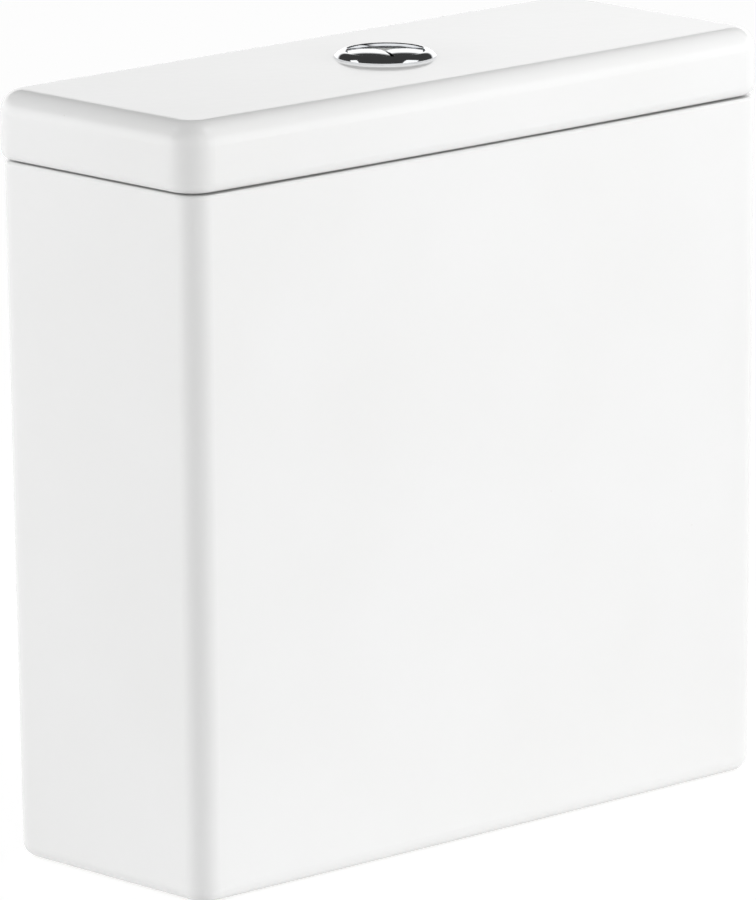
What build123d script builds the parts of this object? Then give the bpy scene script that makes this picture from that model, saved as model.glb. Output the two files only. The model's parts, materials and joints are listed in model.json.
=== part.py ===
from build123d import *
import math
import os

# Close-coupled toilet cistern with a lift-off lid, dual push button, flush valve and fill valve.
# Millimetres, +Z up. The origin is the centre of the base rim's plane. -Y is the front, +Y the wall side.

# Outside of the ceramic lid
lid_width = 365.0
lid_depth = 137.6
lid_bow = 2.4
lid_height = 32.2
lid_corner = 15.5
lid_top_round = 10.7
lid_bottom_round = 5.0

# Outside of the ceramic tank, which steps in under the lid and tapers down to its base
tank_height = 326.0
lid_gap = 0.6
side_overhang = 2.2
front_overhang = 0.4
back_overhang = 2.7
side_taper = 2.3
front_taper = 1.8
back_taper = 2.9
tank_bow = 1.0
tank_corner = 11.2
tank_base_round = 7.4
rim_round = 1.5

# Ceramic walls and floor
tank_wall = 9.0
skirt_wall = 14.0
base_recess = 38.0
floor_thickness = 12.0
inner_corner = 7.0
inner_floor_round = 6.0
recess_round = 4.0
lid_wall = 12.0
lid_plate = 9.0
lid_inner_round = 6.0
lug_length = 40.0
lug_thickness = 7.0
lug_drop = 9.0
lug_inset = 2.0
lug_spread_share = 0.3
buffer_radius = 2.6
buffer_proud = 0.3
buffer_thickness = 1.5
buffer_spread_share = 0.28

# Holes in the ceramic
service_line_y = 0.0
pan_bolt_spacing = 150.0
pan_bolt_hole_radius = 5.5
wall_screw_spacing = 220.0
wall_screw_hole_radius = 3.25
wall_screw_below_rim = 26.0
outlet_hole_clearance = 2.2
inlet_hole_clearance = 1.0

# Shared fits
overrun = 2.0
slip = 0.1
running = 0.06
apart = 0.3
loose = 0.5

# Push button: chrome ring, housing and nut
bezel_radius = 23.6
bezel_edge_height = 0.8
bezel_crest_radius = 18.9
bezel_crest_height = 3.3
bezel_bore_radius = 18.3
bezel_skin = 1.1
bezel_lip_drop = 0.4
housing_radius = 19.2
housing_wall = 1.4
housing_depth = 26.0
housing_floor = 2.0
housing_skirt = 4.0
housing_flange_gap = 0.2
lid_hole_clearance = 0.8
housing_gasket_thickness = 2.0
housing_gasket_width = 7.6
housing_nut_height = 7.0
housing_nut_width = 9.0
nut_grip_count = 12
nut_grip_radius = 1.4

# Push buttons: two halves of a disc, parted by a wave, each with its own low crown
button_gap = 0.8
button_clearance = 0.4
button_turn = -43.0
crown_radius = 60.0
crown_height = 3.1
crown_centre_share = 0.5
button_plate = 2.4
button_skirt = 9.0
button_wall = 1.3
wave_swing_shares = (0.17, 0.28)
wave_reach_share = 0.46
notch_reach_share = 0.46
notch_side_shares = (-0.07, 0.29)
notch_depth = 1.6
button_travel = 5.5
rod_reach = 12.0
rod_stagger = 6.0
rod_radius = 2.5
rod_boss_radius = 3.8
rod_nut_radius = 3.9
rod_nut_height = 3.0
rod_hole_clearance = 0.6
spring_side_share = 0.29
spring_front_share = 0.52
spring_radius = 3.6
spring_wire_radius = 0.4
spring_turns = 5
spring_quarters = 4

# Flush valve seat, clamped through the tank floor
seat_bore_radius = 26.0
tail_radius = 29.8
tail_clear_of_base = 2.0
tail_end_length = 11.0
tail_end_step = 0.5
seat_flange_radius = 42.0
seat_flange_thickness = 4.0
seat_gasket_thickness = 2.0
seat_throat_wall = 4.5
seat_rise = 7.0
seat_lip = 1.4
outlet_nut_radius = 36.0
outlet_nut_height = 10.0
outlet_nut_lugs = 6
outlet_nut_lug_reach = 2.2
outlet_nut_lug_width = 9.0
doughnut_radius = 46.5
doughnut_top_radius = 45.0
doughnut_base_radius = 41.0
doughnut_height = 23.7
doughnut_waist_share = 0.68
doughnut_room = 4.0

# Cage, tower and head of the flush valve
cage_radius = 37.0
cage_wall = 2.5
cage_height = 54.0
cage_plate = 3.0
cage_window_width = 34.0
cage_window_height = 38.0
cage_window_sill = 8.0
cage_window_count = 4
cage_window_turn = 45.0
tower_base_thickness = 3.0
tower_base_radius = 28.0
column_offset = 24.0
column_width = 12.0
column_thickness = 4.0
column_rib = 3.0
column_rib_thickness = 2.4
head_above_overflow = 7.0
brace_height_share = 0.3
brace_thickness = 3.0
head_plate = 5.0
head_radius = 29.0
head_bore_radius = 15.0
axle_rise = 16.0
axle_radius = 2.0
ear_thickness = 3.0
ear_half_width = 5.0
ear_above_axle = 5.0
axle_proud = 1.0

# Rockers that turn a press into a lift
rocker_width = 8.0
rocker_hub_radius = 5.0
rocker_bar_drop = 3.0
rocker_bar_thickness = 4.0
rocker_tail = 4.0
full_lift_reach = 26.0
half_lift_reach = 14.0
rocker_nose_radius = 2.0
rod_tip_gap = 0.45
lift_gap = 0.4

# Moving stem of the flush valve: overflow tube, seal, float and yoke
stem_radius = 12.5
stem_wall = 1.7
overflow_below_rim = 48.0
stem_flange_radius = 26.0
stem_flange_thickness = 2.5
seal_radius = 30.5
seal_thickness = 3.0
retainer_radius = 22.0
retainer_thickness = 3.0
stem_spigot = 1.5
yoke_below_overflow = 16.0
yoke_ring_radius = 17.0
yoke_ring_thickness = 6.0
yoke_arm_width = 8.0
yoke_post_thickness = 3.0
yoke_post_clearance = 4.0
yoke_lug_thickness = 3.0
yoke_lug_reach = 8.0
clip_thickness = 3.0
clip_radius = 15.5
clip_opening = 16.0
full_float_place_share = 0.54
full_float_length = 45.0
full_float_radius = 21.0
float_skin = 1.6

# Half-flush float on its rail, with its latch
rail_offset = 28.0
rail_depth = 4.0
rail_width = 6.0
rail_below_yoke = 10.0
rail_fork_height = 15.0
rail_fork_width = 18.0
rail_fork_bridge = 4.0
rail_leg_width = 3.0
rail_foot_thickness = 2.0
rail_foot_depth = 9.0
rail_slip = 0.4
half_float_width = 32.0
half_float_depth = 24.0
half_float_length = 40.0
half_float_rise = 22.0
half_guide_height = 14.0
half_guide_wall = 2.4
latch_rise = 8.0
latch_width = 8.0
latch_hub_radius = 3.2
latch_pin_radius = 1.2
latch_outer_reach = 16.0
latch_inner_reach = 11.5
latch_thickness = 2.6
latch_tooth = 3.0

# Fill valve
fill_from_side = 39.5
inlet_tail_radius = 10.48
inlet_bore_radius = 5.0
inlet_tail_clear = 4.0
inlet_connector_length = 22.0
inlet_relief_width = 2.0
inlet_relief_depth = 0.8
inlet_flange_radius = 17.0
inlet_flange_thickness = 4.0
inlet_washer_thickness = 2.5
barrel_radius = 12.0
barrel_height = 78.5
riser_radius = 8.0
riser_wall = 2.5
riser_depth = 60.0
fill_cap_below_rim = 35.0
lock_ring_height = 10.0
lock_ring_radius = 15.0
lock_ring_grips = 10
lock_ring_grip_radius = 1.1
inlet_nut_radius = 17.0
inlet_nut_height = 9.0
inlet_nut_sides = 6
inlet_nut_flange_radius = 18.5
inlet_nut_flange_thickness = 2.0
filter_wall = 1.0
filter_height = 32.0
filter_slot_width = 1.6
filter_slot_share = 0.6
fill_head_radius = 17.0
fill_head_height = 34.0
fill_head_floor = 8.0
fill_chamber_radius = 14.0
fill_shoulder_radius = 16.0
fill_shoulder_drop = 3.0
inlet_jet_radius = 5.0
inlet_jet_bore_radius = 3.0
inlet_jet_height = 14.0
diaphragm_thickness = 2.0
cap_radius = 18.0
cap_thickness = 7.0
cap_round = 1.5
nozzle_radius = 2.6
nozzle_height = 3.0
discharge_offset = 24.0
discharge_radius = 6.5
discharge_wall = 1.3
discharge_socket_wall = 2.0
discharge_socket_depth = 8.0
discharge_socket_height = 12.0
discharge_clear_of_floor = 10.0
clip_plate_height = 60.0
clip_plate_thickness = 5.0
clip_plate_wall = 2.0

# Float arm and float of the fill valve
arm_pivot_reach = 14.0
arm_pivot_rise = 10.0
arm_length = 38.0
arm_end = 5.5
arm_tail = 4.0
arm_width = 10.0
arm_thickness = 3.0
arm_hub_radius = 4.0
arm_droop = 9.1
arm_pin_radius = 1.5
arm_ear_gap = 0.6
arm_ear_thickness = 3.0
arm_ear_half_width = 3.5
arm_slot_clearance = 1.2
pilot_seal_radius = 3.0
pilot_seal_drop = 2.5
link_radius = 2.0
link_proud = 7.0
link_nut_radius = 4.0
link_nut_height = 3.0
link_boss_radius = 5.0
link_boss_height = 8.0
fill_float_width = 42.0
fill_float_breadth = 42.0
fill_float_length = 50.0
fill_float_below_cap = 41.0
fill_float_round = 4.0
fill_float_skin = 1.8
fill_guide_drop = 28.0
fill_guide_height = 10.0
fill_guide_wall = 3.0
fill_guide_width = 9.0

# Places worked out from the sizes above
back_y = (lid_depth + lid_bow) / 2
front_y = back_y - lid_depth
lid_base_z = tank_height + lid_gap
lid_top_z = lid_base_z + lid_height
lid_under_z = lid_top_z - lid_plate
floor_top_z = base_recess + floor_thickness
lid_hole_radius = housing_radius + lid_hole_clearance
outlet_hole_radius = tail_radius + outlet_hole_clearance
inlet_hole_radius = inlet_tail_radius + inlet_hole_clearance
fill_x = fill_from_side - lid_width / 2

button_radius = housing_radius - housing_wall - button_clearance
housing_floor_z = lid_top_z - housing_depth + housing_skirt
button_plate_z = lid_top_z + crown_height - 2 * button_plate
rod_boss_z = lid_top_z - button_skirt - loose
rod_places = {1: (-rod_reach, rod_stagger), -1: (rod_reach, -rod_stagger)}

seat_flange_z = floor_top_z + seat_gasket_thickness
seat_flange_top_z = seat_flange_z + seat_flange_thickness
seat_top_z = seat_flange_top_z + seat_rise
cage_top_z = seat_flange_top_z + cage_height
tower_z = cage_top_z + cage_plate
overflow_level = tank_height - overflow_below_rim
head_z = overflow_level + head_above_overflow
column_length = head_z - tower_z
head_top_z = head_z + head_plate
axle_z = head_top_z + axle_rise
ear_inner_y = stem_radius + 2 * loose
seal_z = seat_top_z + apart
stem_flange_z = seal_z + seal_thickness
stem_base_z = seal_z - retainer_thickness - stem_spigot
rocker_bar_top_z = axle_z - rocker_bar_drop
nose_z = rocker_bar_top_z - rocker_nose_radius
rod_tip_z = rocker_bar_top_z + rod_radius + rod_tip_gap
yoke_post_x = full_lift_reach + rocker_nose_radius + yoke_post_clearance
rocker_swing = math.atan(button_travel / rod_reach)
nose_drop = rocker_bar_drop + rocker_nose_radius
nose_sink = nose_drop * (1 - math.cos(rocker_swing))
half_free_lift = half_lift_reach * math.sin(rocker_swing) + nose_sink + lift_gap
yoke_z = overflow_level - yoke_below_overflow

rail_x = -rail_offset
rail_z = tower_z + rail_foot_thickness + rail_fork_height
rail_top_z = yoke_z - rail_below_yoke
latch_z = tower_z + latch_rise
full_float_middle_z = latch_z + (yoke_z - latch_z) * full_float_place_share
full_float_z = full_float_middle_z - full_float_length / 2
full_float_top_z = full_float_z + full_float_length
half_float_z = tower_z + half_float_rise

washer_top_z = floor_top_z + inlet_washer_thickness
barrel_z = washer_top_z + inlet_flange_thickness
barrel_top_z = barrel_z + barrel_height
cap_top_z = tank_height - fill_cap_below_rim
fill_head_top_z = cap_top_z - cap_thickness
fill_head_z = fill_head_top_z - fill_head_height
arm_pivot_x = fill_x + arm_pivot_reach
arm_pivot_z = cap_top_z + arm_pivot_rise
link_x = arm_pivot_x + arm_length
fill_float_top_z = cap_top_z - fill_float_below_cap
fill_float_z = fill_float_top_z - fill_float_length
discharge_y = service_line_y + discharge_offset


def column(radius, low, high, x=0, y=service_line_y):
    """Upright solid cylinder between two heights."""
    return Pos(x, y, (low + high) / 2) * Cylinder(radius, high - low)


def ring(outer, inner, low, high, x=0, y=service_line_y):
    """Upright tube between two heights."""
    return column(outer, low, high, x, y) - column(inner, low - overrun, high + overrun, x, y)


def block(x_pair, y_pair, z_pair):
    """Box between pairs of coordinates."""
    (x_low, x_high), (y_low, y_high), (z_low, z_high) = x_pair, y_pair, z_pair
    centre = Pos((x_low + x_high) / 2, (y_low + y_high) / 2, (z_low + z_high) / 2)
    return centre * Box(x_high - x_low, y_high - y_low, z_high - z_low)


def cross_pin(radius, x, z, y_low, y_high):
    """Cylinder that lies along Y."""
    return Pos(x, (y_low + y_high) / 2, z) * Rot(90, 0, 0) * Cylinder(radius, y_high - y_low)


def turned(points, x=0, y=service_line_y):
    """Closed outline of (radius, height) points, turned about an upright axis."""
    outline = Polyline([(radius, 0, height) for radius, height in points], close=True)
    return Pos(x, y, 0) * revolve(make_face(outline), Axis.Z)


def around(solid, count, x=0, y=service_line_y):
    """Copies of a solid, evenly spaced about an upright axis at (x, y), where the solid is at angle 0."""
    copies = [Pos(x, y, 0) * Rot(0, 0, 360 * turn / count) * solid for turn in range(count)]
    return Part() + copies


def plan_outline(half_width, front, back, bow, corner):
    """Face with straight back and sides, a bowed front and rounded corners."""
    front_edge = ThreePointArc((-half_width, front), (0, front - bow), (half_width, front))
    sides = Polyline((half_width, front), (half_width, back), (-half_width, back), (-half_width, front))
    face = make_face(front_edge + sides)
    return fillet(face.vertices(), corner)


def tank_outline(height, inset, corner):
    """Plan of the tapered tank at a height, set in by a wall."""
    down_share = (tank_height - height) / tank_height
    half_width = lid_width / 2 - side_overhang - side_taper * down_share - inset
    front = front_y + front_overhang + front_taper * down_share + inset
    back = back_y - back_overhang - back_taper * down_share - inset
    return Pos(0, 0, height) * plan_outline(half_width, front, back, tank_bow, corner)


def tank_block(low, high, inset, corner):
    """Tapered solid between two plans of the tank."""
    return loft([tank_outline(low, inset, corner), tank_outline(high, inset, corner)], ruled=True)


def edges_at(solid, height):
    """Edges that lie wholly at one height."""
    return [edge for edge in solid.edges() if all(abs(v.Z - height) < slip for v in edge.vertices())]


def make_tank():
    """Ceramic tank with a raised floor, a skirt and its holes."""
    body = tank_block(0, tank_height, 0, tank_corner)
    body = fillet(edges_at(body, 0), tank_base_round)
    space = tank_block(floor_top_z, tank_height + overrun, tank_wall, inner_corner)
    space = fillet(edges_at(space, floor_top_z), inner_floor_round)
    recess_width = lid_width - 2 * (side_overhang + side_taper + skirt_wall)
    recess_depth = 2 * (doughnut_radius + doughnut_room)
    recess_plan = RectangleRounded(recess_width, recess_depth, inner_corner)
    recess = Pos(0, service_line_y, -overrun) * extrude(recess_plan, base_recess + overrun)
    recess = fillet(edges_at(recess, base_recess), recess_round)
    body = body - space - recess
    body = fillet(edges_at(body, tank_height), rim_round)
    floor_span = (base_recess - overrun, floor_top_z + overrun)
    body -= column(outlet_hole_radius, *floor_span)
    body -= column(inlet_hole_radius, *floor_span, x=fill_x)
    for side in (-1, 1):
        body -= column(pan_bolt_hole_radius, *floor_span, x=side * pan_bolt_spacing / 2)
        screw = cross_pin(wall_screw_hole_radius, side * wall_screw_spacing / 2,
                          tank_height - wall_screw_below_rim, 0, back_y + overrun)
        body -= screw
    return body


def lid_plan(inset, corner):
    """Plan of the lid, set in by a wall."""
    return plan_outline(lid_width / 2 - inset, front_y + inset, back_y - inset, lid_bow, corner)


def buffer_places():
    """Centres of the buffers, on the lid's side rims over the tank's rim."""
    rim_inner = side_overhang + tank_wall
    x = lid_width / 2 - (lid_bottom_round + rim_inner) / 2
    spread = lid_depth * buffer_spread_share
    return [(side * x, end * spread) for side in (-1, 1) for end in (-1, 1)]


def make_lid():
    """Ceramic lid, a tray upside down with lugs that drop inside the tank's mouth."""
    body = Pos(0, 0, lid_base_z) * extrude(lid_plan(0, lid_corner), lid_height)
    body = fillet(edges_at(body, lid_top_z), lid_top_round)
    body = fillet(edges_at(body, lid_base_z), lid_bottom_round)
    hollow_height = lid_height - lid_plate + overrun
    hollow = Pos(0, 0, lid_base_z - overrun) * extrude(lid_plan(lid_wall, inner_corner), hollow_height)
    hollow = fillet(edges_at(hollow, lid_under_z), lid_inner_round)
    body -= hollow
    lug_z = (lid_base_z - lug_drop, lid_under_z - lid_inner_round)
    for side in (-1, 1):
        middle = side * lid_width * lug_spread_share
        lug_x = (middle - lug_length / 2, middle + lug_length / 2)
        front_lug = front_y + lid_wall + lug_inset
        back_lug = back_y - lid_wall - lug_inset
        upper_z = (lid_base_z + lug_inset, lug_z[1])
        for wall, root, tip in ((front_lug, -lug_inset - lid_bow, lug_thickness),
                                (back_lug, lug_inset, -lug_thickness)):
            near, far = sorted((wall, wall + tip))
            body += block(lug_x, (near, far), lug_z)
            near, far = sorted((wall + root, wall + tip))
            body += block(lug_x, (near, far), upper_z)
    body -= column(lid_hole_radius, lid_under_z - overrun, lid_top_z + overrun)
    pocket_depth = buffer_thickness - buffer_proud
    for x, y in buffer_places():
        body -= column(buffer_radius + slip, lid_base_z - overrun, lid_base_z + pocket_depth, x, y)
    return body


def make_lid_buffers():
    """Soft round pads set into the lid's rim."""
    low = lid_base_z - buffer_proud
    return Part() + [column(buffer_radius, low, low + buffer_thickness, x, y) for x, y in buffer_places()]


def make_button_bezel():
    """Chrome ring round the buttons, low at its edge and high at its bore."""
    crest = lid_top_z + bezel_crest_height
    edge_z = lid_top_z + bezel_edge_height
    under_z = lid_top_z + bezel_crest_height - bezel_skin - bezel_lip_drop
    pocket_radius = bezel_radius - bezel_skin
    middle = ((bezel_radius * 2 + bezel_crest_radius) / 3, lid_top_z + bezel_crest_height * 2 / 3)
    dome = ThreePointArc((bezel_radius, 0, edge_z), (middle[0], 0, middle[1]), (bezel_crest_radius, 0, crest))
    rest = Polyline((bezel_crest_radius, 0, crest), (bezel_bore_radius, 0, crest - bezel_lip_drop),
                    (bezel_bore_radius, 0, under_z), (bezel_crest_radius + bezel_skin, 0, under_z),
                    (pocket_radius, 0, edge_z), (pocket_radius, 0, lid_top_z),
                    (bezel_radius, 0, lid_top_z), (bezel_radius, 0, edge_z))
    return Pos(0, service_line_y, 0) * revolve(make_face(dome + rest), Axis.Z)


def make_button_housing():
    """Sleeve through the lid, with a flange on top and a floor that guides the rods."""
    flange_radius = bezel_radius - bezel_skin - housing_flange_gap
    inner = housing_radius - housing_wall
    low = lid_top_z - housing_depth
    flange_top = lid_top_z + bezel_edge_height - housing_flange_gap
    body = ring(housing_radius, inner, low, lid_top_z)
    body += ring(flange_radius, inner, lid_top_z, flange_top)
    body += column(inner + housing_wall / 2, housing_floor_z - housing_floor, housing_floor_z)
    for x, y in rod_places.values():
        hole = column(rod_radius + rod_hole_clearance, low, lid_top_z, x, service_line_y + y)
        body -= hole
    return body


def make_housing_gasket():
    """Soft ring between the nut and the underside of the lid."""
    inner = lid_hole_radius + slip
    return ring(inner + housing_gasket_width, inner, lid_under_z - housing_gasket_thickness, lid_under_z)


def make_housing_nut():
    """Ring nut with finger grips that clamps the housing to the lid."""
    high = lid_under_z - housing_gasket_thickness
    outer = housing_radius + slip + housing_nut_width
    body = ring(outer, housing_radius + slip, high - housing_nut_height, high)
    grip = column(nut_grip_radius, high - housing_nut_height - overrun, high + overrun, outer, 0)
    return body - around(grip, nut_grip_count)


def wave_side(side, gap):
    """Region of the disc on one side of the wave, in the button's own plan."""
    swing_near, swing_far = (share * button_radius for share in wave_swing_shares)
    reach = wave_reach_share * button_radius
    end = button_radius + overrun
    near_arc = ThreePointArc((swing_far, -end), (swing_near, -reach), (0, 0))
    far_arc = ThreePointArc((0, 0), (-swing_near, reach), (-swing_far, end))
    out = -side * (button_radius + overrun)
    closing = Polyline((-swing_far, end), (out, end), (out, -end), (swing_far, -end))
    region = make_face(near_arc + far_arc + closing)
    return Pos(-side * gap / 2, 0) * region


def make_button(side, rod_place):
    """Half of the push button: side 1 is the full flush, side -1 the half flush."""
    crown_top = lid_top_z + crown_height
    skirt_z = lid_top_z - button_skirt
    outline = Circle(button_radius) & wave_side(side, button_gap)
    inner = Circle(button_radius - button_wall) & wave_side(side, button_gap + 2 * button_wall)
    body = extrude(Pos(0, 0, skirt_z) * outline, crown_top - skirt_z)
    crown_x = -side * button_radius * crown_centre_share
    body &= Pos(crown_x, 0, crown_top - crown_radius) * Sphere(crown_radius)
    plate_z = button_plate_z
    body -= extrude(Pos(0, 0, skirt_z - overrun) * inner, plate_z - skirt_z + overrun)
    body -= make_notch(crown_top)
    body = Pos(0, service_line_y, 0) * Rot(0, 0, button_turn) * body
    x, y = rod_place
    boss = column(rod_boss_radius, rod_boss_z, plate_z, x, service_line_y + y)
    hole = column(rod_radius, rod_boss_z - overrun, plate_z, x, service_line_y + y)
    return body + boss - hole


def make_notch(crown_top):
    """Ramp cut in the middle of the disc, deep at its point and shallow at the back."""
    reach = notch_reach_share * button_radius
    left, right = (share * button_radius for share in notch_side_shares)
    plan = make_face(Polyline((0, -slip), (right, reach), (left, reach), close=True))
    prism = Pos(0, 0, crown_top - notch_depth * 2) * extrude(plan, notch_depth * 3)
    ramp = Polyline((0, 0, crown_top - notch_depth), (0, reach, crown_top - notch_depth / 2),
                    (0, reach, crown_top + overrun), (0, -overrun, crown_top + overrun),
                    (0, -overrun, crown_top - notch_depth), close=True)
    wedge = extrude(make_face(ramp), button_radius, dir=(1, 0, 0), both=True)
    return prism & wedge


def make_push_rod(rod_place):
    """Push rod with a round tip, screwed into the button's boss."""
    x, y = rod_place
    shank = column(rod_radius - slip, rod_tip_z, button_plate_z - slip, x, service_line_y + y)
    return shank + Pos(x, service_line_y + y, rod_tip_z) * Sphere(rod_radius - slip)


def make_rod_nut(rod_place):
    """Lock nut under the button's boss."""
    x, y = rod_place
    low = rod_boss_z - rod_nut_height
    return ring(rod_nut_radius, rod_radius, low, rod_boss_z, x, service_line_y + y)


def coil(radius, wire, height, turns, quarters):
    """Coil spring of round wire that climbs about the Z axis from height 0."""
    steps = turns * quarters
    points = []
    for step in range(2 * steps + 1):
        angle = math.pi * step / quarters
        points.append((radius * math.cos(angle), radius * math.sin(angle), height * step / (2 * steps)))
    arcs = [ThreePointArc(*points[2 * step:2 * step + 3]) for step in range(steps)]
    path = Wire(arcs)
    return sweep(Plane(origin=path @ 0, z_dir=path % 0) * Circle(wire), path=path)


def make_button_spring(side):
    """Return spring between a button's plate and the housing floor."""
    low = housing_floor_z + spring_wire_radius + slip
    high = button_plate_z - spring_wire_radius - slip
    place = Pos(-side * spring_side_share * button_radius, -side * spring_front_share * button_radius, low)
    wound = coil(spring_radius, spring_wire_radius, high - low, spring_turns, spring_quarters)
    return Pos(0, service_line_y, 0) * Rot(0, 0, button_turn) * place * wound


def make_seat_gasket():
    """Rubber ring under the flange of the flush valve seat."""
    return ring(seat_flange_radius - slip, tail_radius + slip, floor_top_z, seat_flange_z)


def make_valve_seat():
    """Flush valve seat: flange, raised lip and threaded tail with a plain end."""
    throat = seat_bore_radius + seat_throat_wall
    lip_inner = seat_bore_radius + seat_lip
    end_radius = tail_radius - tail_end_step
    end_top = tail_clear_of_base + tail_end_length
    return turned([(seat_bore_radius, tail_clear_of_base), (end_radius, tail_clear_of_base),
                   (end_radius, end_top), (tail_radius, end_top),
                   (tail_radius, seat_flange_z), (seat_flange_radius, seat_flange_z),
                   (seat_flange_radius, seat_flange_top_z), (throat, seat_flange_top_z),
                   (throat, seat_top_z - seat_lip), (lip_inner + seat_lip, seat_top_z),
                   (lip_inner, seat_top_z), (seat_bore_radius, seat_top_z - seat_lip)])


def make_outlet_back_nut():
    """Lugged nut that clamps the seat from under the floor."""
    low = base_recess - outlet_nut_height
    body = column(outlet_nut_radius, low, base_recess)
    lug = block((0, outlet_nut_radius + outlet_nut_lug_reach),
                (-outlet_nut_lug_width / 2, outlet_nut_lug_width / 2), (low, base_recess))
    body += around(lug, outlet_nut_lugs)
    return body - column(tail_radius + slip, low - overrun, base_recess + overrun)


def make_coupling_doughnut():
    """Thick soft ring that seals the tail and nut into the pan."""
    high = base_recess - apart
    low = high - doughnut_height
    bore = tail_radius + loose
    nut_top = base_recess - outlet_nut_height - apart
    nut_room = outlet_nut_radius + outlet_nut_lug_reach + loose
    waist = low + doughnut_height * doughnut_waist_share
    return turned([(bore, low), (doughnut_base_radius, low), (doughnut_radius, waist),
                   (doughnut_top_radius, high), (nut_room, high), (nut_room, nut_top), (bore, nut_top)])


def make_valve_cage():
    """Windowed cage that stands on the seat's flange."""
    inner = cage_radius - cage_wall
    body = ring(cage_radius, inner, seat_flange_top_z, cage_top_z)
    sill = seat_flange_top_z + cage_window_sill
    window = block((0, cage_radius + overrun), (-cage_window_width / 2, cage_window_width / 2),
                   (sill, sill + cage_window_height))
    body -= around(Rot(0, 0, cage_window_turn) * window, cage_window_count)
    return body + ring(cage_radius, stem_radius + loose, cage_top_z, tower_z)


def make_valve_tower():
    """Two ribbed columns on a base ring, tied part way up by a brace."""
    base_top = tower_z + tower_base_thickness
    body = ring(tower_base_radius, head_bore_radius, tower_z, base_top)
    brace_z = tower_z + column_length * brace_height_share
    ring_inner = full_float_radius + 2 * loose
    body += ring(tower_base_radius, ring_inner, brace_z, brace_z + brace_thickness)
    guide = rail_offset - rail_depth - half_guide_wall
    body -= block((-tower_base_radius - overrun, -guide), (-tower_base_radius, tower_base_radius),
                  (tower_z - overrun, head_z))
    for side in (-1, 1):
        middle = service_line_y + side * column_offset
        face = middle + side * column_thickness / 2
        y_pair = sorted((middle - side * column_thickness / 2, face))
        rib_pair = sorted((face - side * slip, face + side * column_rib))
        body += block((-column_width / 2, column_width / 2), y_pair, (tower_z, head_z))
        body += block((-column_rib_thickness / 2, column_rib_thickness / 2), rib_pair, (tower_z, head_z))
    return body


def make_tower_head():
    """Bridge on the columns with two ears that hold the rocker axle."""
    body = ring(head_radius, head_bore_radius, head_z, head_top_z)
    for side in (-1, 1):
        near = service_line_y + side * ear_inner_y
        y_pair = sorted((near, near + side * ear_thickness))
        foot_pair = sorted((near, service_line_y + side * (head_radius - ear_thickness)))
        top = axle_z + ear_above_axle
        body += block((-ear_half_width, ear_half_width), y_pair, (head_z, top))
        body += block((-ear_half_width, ear_half_width), foot_pair, (head_z, head_top_z))
    span = ear_inner_y + ear_thickness + overrun
    hole = cross_pin(axle_radius + running, 0, axle_z, service_line_y - span, service_line_y + span)
    return body - hole


def make_rocker_axle():
    """Steel pin through the ears and both rockers."""
    reach = ear_inner_y + ear_thickness + axle_proud
    return cross_pin(axle_radius, 0, axle_z, service_line_y - reach, service_line_y + reach)


def make_rocker(side, lift_reach):
    """Rocker with a pad under its push rod and a round nose that lifts the yoke."""
    middle = service_line_y + side * rod_stagger
    y_pair = (middle - rocker_width / 2, middle + rocker_width / 2)
    bar_low = rocker_bar_top_z - rocker_bar_thickness
    x_pair = sorted((-side * (rod_reach + rocker_tail), side * lift_reach))
    body = block(x_pair, y_pair, (bar_low, rocker_bar_top_z))
    body += cross_pin(rocker_nose_radius, side * lift_reach, nose_z, *y_pair)
    hub_y = sorted((service_line_y + side * loose, service_line_y + side * (ear_inner_y - loose)))
    body += cross_pin(rocker_hub_radius, 0, axle_z, *hub_y)
    web = rocker_hub_radius - slip
    body += block((-web, web), y_pair, (bar_low, axle_z))
    hole = cross_pin(axle_radius + running, 0, axle_z, hub_y[0] - overrun, hub_y[1] + overrun)
    return body - hole


def make_overflow_tube():
    """Overflow tube with the flange that carries the seal."""
    body = column(stem_radius, stem_base_z, overflow_level)
    body += column(stem_flange_radius, stem_flange_z, stem_flange_z + stem_flange_thickness)
    return body - column(stem_radius - stem_wall, stem_base_z - overrun, overflow_level + overrun)


def make_valve_seal():
    """Flat silicone seal that closes on the seat's lip."""
    return ring(seal_radius, stem_radius + slip, seal_z, stem_flange_z)


def make_seal_retainer():
    """Ring that holds the seal up against the stem's flange."""
    return ring(retainer_radius, stem_radius + slip, seal_z - retainer_thickness, seal_z)


def clip_at(low):
    """Open spring clip round the overflow tube."""
    body = ring(clip_radius, stem_radius + slip, low, low + clip_thickness)
    front = service_line_y - clip_radius - overrun
    opening = block((-clip_opening / 2, clip_opening / 2), (front, service_line_y),
                    (low - overrun, low + clip_thickness + overrun))
    return body - opening


def make_stem_clips():
    """Clips that set the heights of the yoke and the full-flush float."""
    return Part() + [clip_at(yoke_z - clip_thickness), clip_at(full_float_top_z)]


def make_lift_yoke():
    """Crosshead on the overflow tube with a post and a lug over each rocker's nose."""
    top = yoke_z + yoke_ring_thickness
    body = column(yoke_ring_radius, yoke_z, top)
    full_lug_z = rocker_bar_top_z + lift_gap
    half_lug_z = rocker_bar_top_z + half_free_lift
    for side, lug_z, reach in ((1, full_lug_z, yoke_lug_reach), (-1, half_lug_z, 0)):
        middle = service_line_y + side * rod_stagger
        y_pair = (middle - yoke_arm_width / 2, middle + yoke_arm_width / 2)
        outer = yoke_post_x + yoke_post_thickness
        lug_tip = yoke_post_x - reach if reach else half_lift_reach - rocker_nose_radius
        body += block(sorted((0, side * outer)), y_pair, (yoke_z, top))
        post = sorted((side * yoke_post_x, side * outer))
        body += block(post, y_pair, (yoke_z, lug_z + yoke_lug_thickness))
        lug = sorted((side * lug_tip, side * outer))
        body += block(lug, y_pair, (lug_z, lug_z + yoke_lug_thickness))
    return body - column(stem_radius + slip, yoke_z - overrun, top + overrun)


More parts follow.
